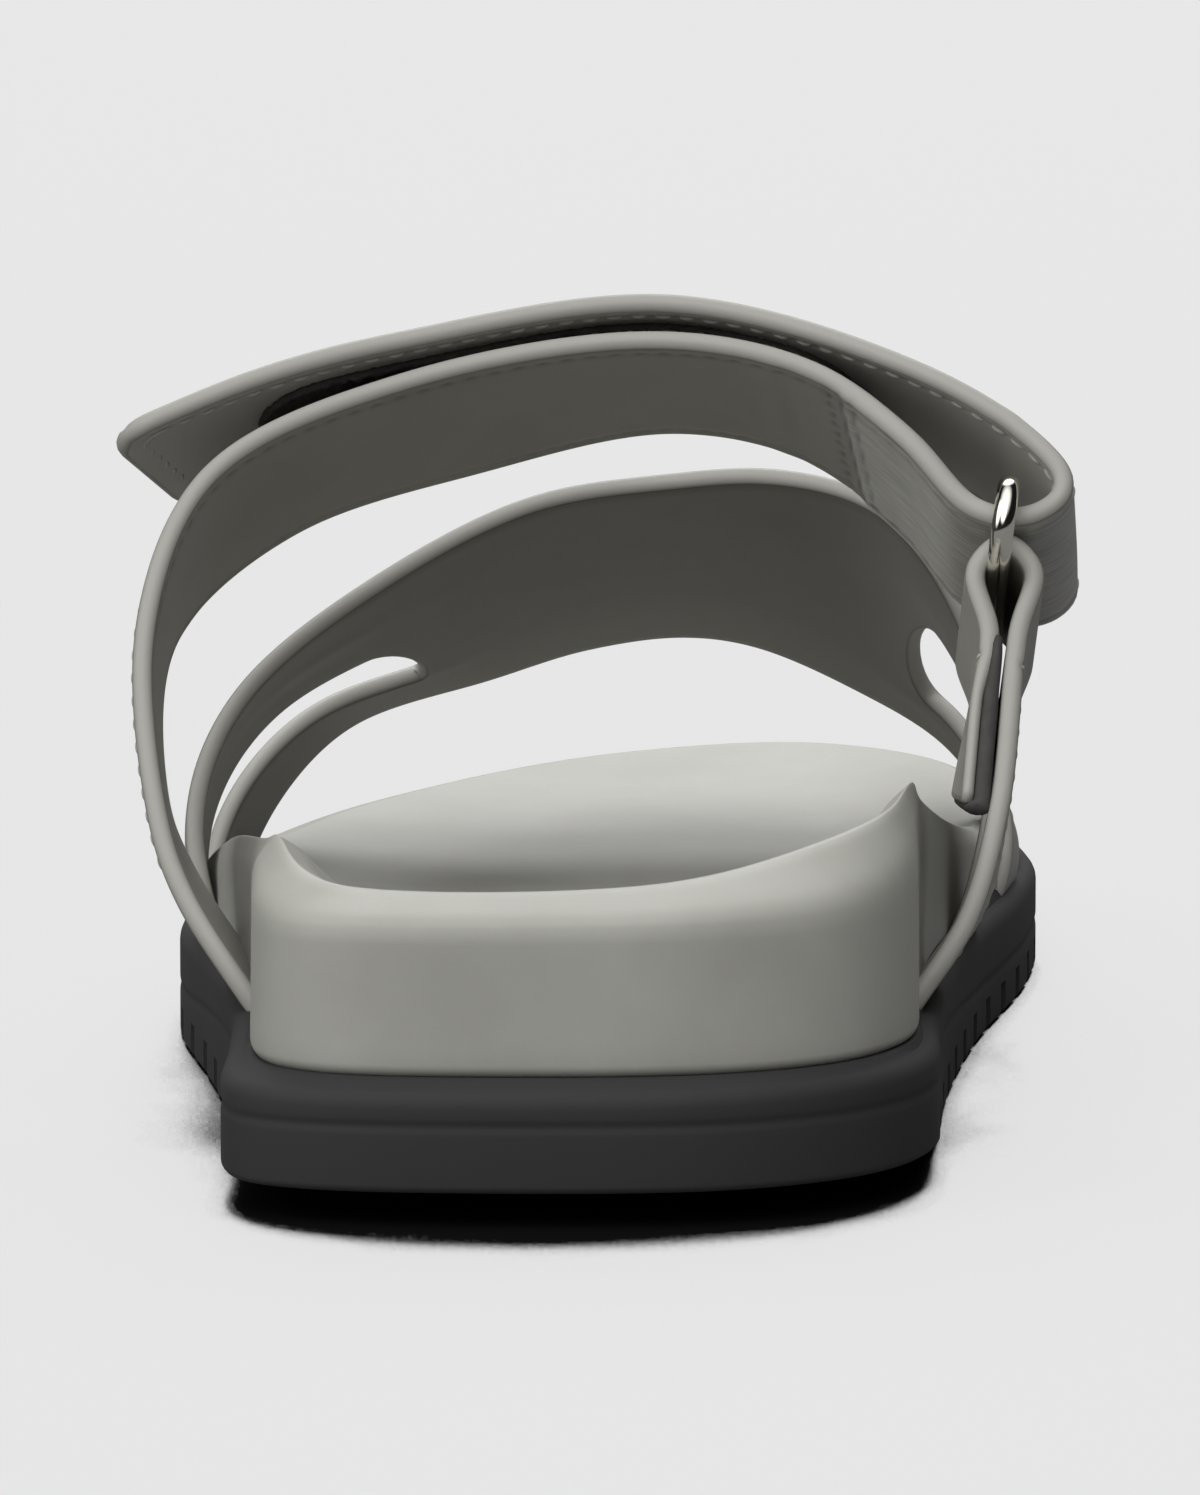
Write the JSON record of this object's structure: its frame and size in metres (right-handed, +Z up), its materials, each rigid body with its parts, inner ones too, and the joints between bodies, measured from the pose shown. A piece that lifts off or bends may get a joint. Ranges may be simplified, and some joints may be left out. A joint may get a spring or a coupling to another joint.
{
  "type": "footbed sandal",
  "caption": "Left open-toe sandal: moulded footbed on a grooved rubber sole, slotted leather forefoot band, and an instep strap passed through a ring and fastened back on itself.",
  "frame": {"origin": "on the floor, below the middle of the sandal's bounding box", "axes": "+Y from heel to toe, +X to the inner (medial) side of the foot, +Z up"},
  "size_m": [0.1151, 0.2746, 0.0948],
  "materials": {
    "bed_leather": "smooth matt grey leather over a moulded core",
    "strap_leather": "smooth grey leather with painted edges",
    "sole_rubber": "matt dark grey moulded rubber",
    "ring_metal": "polished",
    "fastener_pile": "woven hook-and-loop pile"
  },
  "bodies": {
    "root": {"outsole": "sole_rubber", "footbed": "bed_leather", "front_strap": "strap_leather", "instep_strap": "strap_leather", "ring_tab": "strap_leather", "ring": "ring_metal", "hook_patch": "fastener_pile", "loop_patch": "fastener_pile"}
  },
  "joints": []
}
